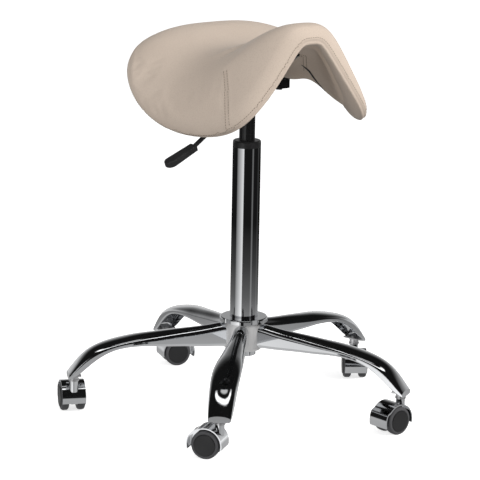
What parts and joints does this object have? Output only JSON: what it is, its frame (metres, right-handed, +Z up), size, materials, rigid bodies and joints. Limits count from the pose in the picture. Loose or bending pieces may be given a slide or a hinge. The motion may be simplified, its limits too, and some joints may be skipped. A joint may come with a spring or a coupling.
{
  "type": "saddle stool",
  "caption": "Padded saddle seat with a raised pommel on a chrome gas lift, with a black release lever, over a chrome star base on hooded twin-wheel castors.",
  "frame": {"origin": "on the floor, on the gas lift's axis", "axes": "+Z up along the gas lift; -Y towards the pommel, the way the sitter faces; +X to the sitter's left"},
  "size_m": [0.6241, 0.6187, 0.7183],
  "materials": {
    "chrome": "mirror-bright chrome plating on steel pressings and tube",
    "hood_chrome": "bright chrome plating on the castor hoods",
    "bright_steel": "bare machined steel",
    "black_steel": "semi-gloss black paint",
    "black_plastic": "soft-gloss black moulding",
    "seal_rubber": "matt black rubber",
    "valve_brass": "turned brass",
    "shell_plastic": "matt black moulded shell",
    "upholstery": "soft-grained beige artificial leather over foam",
    "underside_cover": "beige artificial leather, pulled under and sewn",
    "wheel_plastic": "dark grey moulded wheel centre",
    "tread": "grey soft tread"
  },
  "bodies": {
    "base": {"base_hub": "chrome", "hub_flange": "chrome", "arm_1": "chrome", "arm_2": "chrome", "arm_3": "chrome", "arm_4": "chrome", "arm_5": "chrome", "castor_sockets": "bright_steel", "castor_stems": "bright_steel", "column_tube": "chrome", "guide_sleeve": "black_plastic", "thrust_bearing": "bright_steel"},
    "rod": {"piston_rod": "bright_steel", "piston_head": "seal_rubber", "rod_clip": "bright_steel"},
    "seat": {"gas_cylinder": "black_steel", "rod_seal": "seal_rubber", "taper_socket": "black_steel", "mechanism_tray": "black_steel", "pommel_bracket": "black_steel", "lever_pin": "bright_steel", "seat_spacers": "black_steel", "seat_screws": "bright_steel", "seat_shell": "shell_plastic", "seat_cushion": "upholstery", "bottom_cover": "underside_cover"},
    "lever": {"lever_rod": "black_steel", "lever_grip": "black_plastic"},
    "valve": {"valve_button": "valve_brass"},
    "castor_1": {"castor_1_hood": "hood_chrome", "castor_1_axle": "bright_steel"},
    "wheel_1_right": {"castor_1_right_hub": "wheel_plastic", "castor_1_right_tyre": "tread"},
    "wheel_1_left": {"castor_1_left_hub": "wheel_plastic", "castor_1_left_tyre": "tread"},
    "castor_2": {"castor_2_hood": "hood_chrome", "castor_2_axle": "bright_steel"},
    "wheel_2_right": {"castor_2_right_hub": "wheel_plastic", "castor_2_right_tyre": "tread"},
    "wheel_2_left": {"castor_2_left_hub": "wheel_plastic", "castor_2_left_tyre": "tread"},
    "castor_3": {"castor_3_hood": "hood_chrome", "castor_3_axle": "bright_steel"},
    "wheel_3_right": {"castor_3_right_hub": "wheel_plastic", "castor_3_right_tyre": "tread"},
    "wheel_3_left": {"castor_3_left_hub": "wheel_plastic", "castor_3_left_tyre": "tread"},
    "castor_4": {"castor_4_hood": "hood_chrome", "castor_4_axle": "bright_steel"},
    "wheel_4_right": {"castor_4_right_hub": "wheel_plastic", "castor_4_right_tyre": "tread"},
    "wheel_4_left": {"castor_4_left_hub": "wheel_plastic", "castor_4_left_tyre": "tread"},
    "castor_5": {"castor_5_hood": "hood_chrome", "castor_5_axle": "bright_steel"},
    "wheel_5_right": {"castor_5_right_hub": "wheel_plastic", "castor_5_right_tyre": "tread"},
    "wheel_5_left": {"castor_5_left_hub": "wheel_plastic", "castor_5_left_tyre": "tread"}
  },
  "joints": [
    {"name": "seat_swivel", "type": "hinge", "parent": "base", "child": "rod", "pos_m": [0, 0, 0.106], "axis": [0, 0, 1], "continuous": true},
    {"name": "seat_height", "type": "slide", "parent": "rod", "child": "seat", "axis": [0, 0, 1], "range_m": [-0.06, 0.13]},
    {"name": "lever_pull", "type": "hinge", "parent": "seat", "child": "lever", "pos_m": [-0.03763, -0.00529, 0.5995], "axis": [-0.1392, 0.9903, 0], "range_deg": [0, 5]},
    {"name": "valve_press", "type": "slide", "parent": "seat", "child": "valve", "axis": [0, 0, 1], "range_m": [-0.0035, 0], "stiffness_N_per_m": 400},
    {"name": "castor_1_swivel", "type": "hinge", "parent": "base", "child": "castor_1", "pos_m": [-0.27852, 0.12576, 0.05], "axis": [0, 0, 1], "continuous": true},
    {"name": "wheel_1_right_spin", "type": "hinge", "parent": "castor_1", "child": "wheel_1_right", "pos_m": [-0.2709, 0.14425, 0.025], "axis": [0.9245, -0.3811, 0], "continuous": true},
    {"name": "wheel_1_left_spin", "type": "hinge", "parent": "castor_1", "child": "wheel_1_left", "pos_m": [-0.2709, 0.14425, 0.025], "axis": [0.9245, -0.3811, 0], "continuous": true},
    {"name": "castor_2_swivel", "type": "hinge", "parent": "base", "child": "castor_2", "pos_m": [-0.20567, -0.22603, 0.05], "axis": [0, 0, 1], "continuous": true},
    {"name": "wheel_2_right_spin", "type": "hinge", "parent": "castor_2", "child": "wheel_2_right", "pos_m": [-0.21787, -0.21018, 0.025], "axis": [0.7923, 0.6101, 0], "continuous": true},
    {"name": "wheel_2_left_spin", "type": "hinge", "parent": "castor_2", "child": "wheel_2_left", "pos_m": [-0.21787, -0.21018, 0.025], "axis": [0.7923, 0.6101, 0], "continuous": true},
    {"name": "castor_3_swivel", "type": "hinge", "parent": "base", "child": "castor_3", "pos_m": [0.15141, -0.26545, 0.05], "axis": [0, 0, 1], "continuous": true},
    {"name": "wheel_3_right_spin", "type": "hinge", "parent": "castor_3", "child": "wheel_3_right", "pos_m": [0.13151, -0.2674, 0.025], "axis": [-0.0976, 0.9952, 0], "continuous": true},
    {"name": "wheel_3_left_spin", "type": "hinge", "parent": "castor_3", "child": "wheel_3_left", "pos_m": [0.13151, -0.2674, 0.025], "axis": [-0.0976, 0.9952, 0], "continuous": true},
    {"name": "castor_4_swivel", "type": "hinge", "parent": "base", "child": "castor_4", "pos_m": [0.29925, 0.06197, 0.05], "axis": [0, 0, 1], "continuous": true},
    {"name": "wheel_4_right_spin", "type": "hinge", "parent": "castor_4", "child": "wheel_4_right", "pos_m": [0.28883, 0.0449, 0.025], "axis": [-0.8536, 0.521, 0], "continuous": true},
    {"name": "wheel_4_left_spin", "type": "hinge", "parent": "castor_4", "child": "wheel_4_left", "pos_m": [0.28883, 0.0449, 0.025], "axis": [-0.8536, 0.521, 0], "continuous": true},
    {"name": "castor_5_swivel", "type": "hinge", "parent": "base", "child": "castor_5", "pos_m": [0.03353, 0.30375, 0.05], "axis": [0, 0, 1], "continuous": true},
    {"name": "wheel_5_right_spin", "type": "hinge", "parent": "castor_5", "child": "wheel_5_right", "pos_m": [0.05281, 0.29844, 0.025], "axis": [-0.2656, -0.9641, 0], "continuous": true},
    {"name": "wheel_5_left_spin", "type": "hinge", "parent": "castor_5", "child": "wheel_5_left", "pos_m": [0.05281, 0.29844, 0.025], "axis": [-0.2656, -0.9641, 0], "continuous": true}
  ],
  "couplings": [
    {"joint": "valve_press", "follows": "lever_pull", "m_per_rad": -0.038}
  ]
}
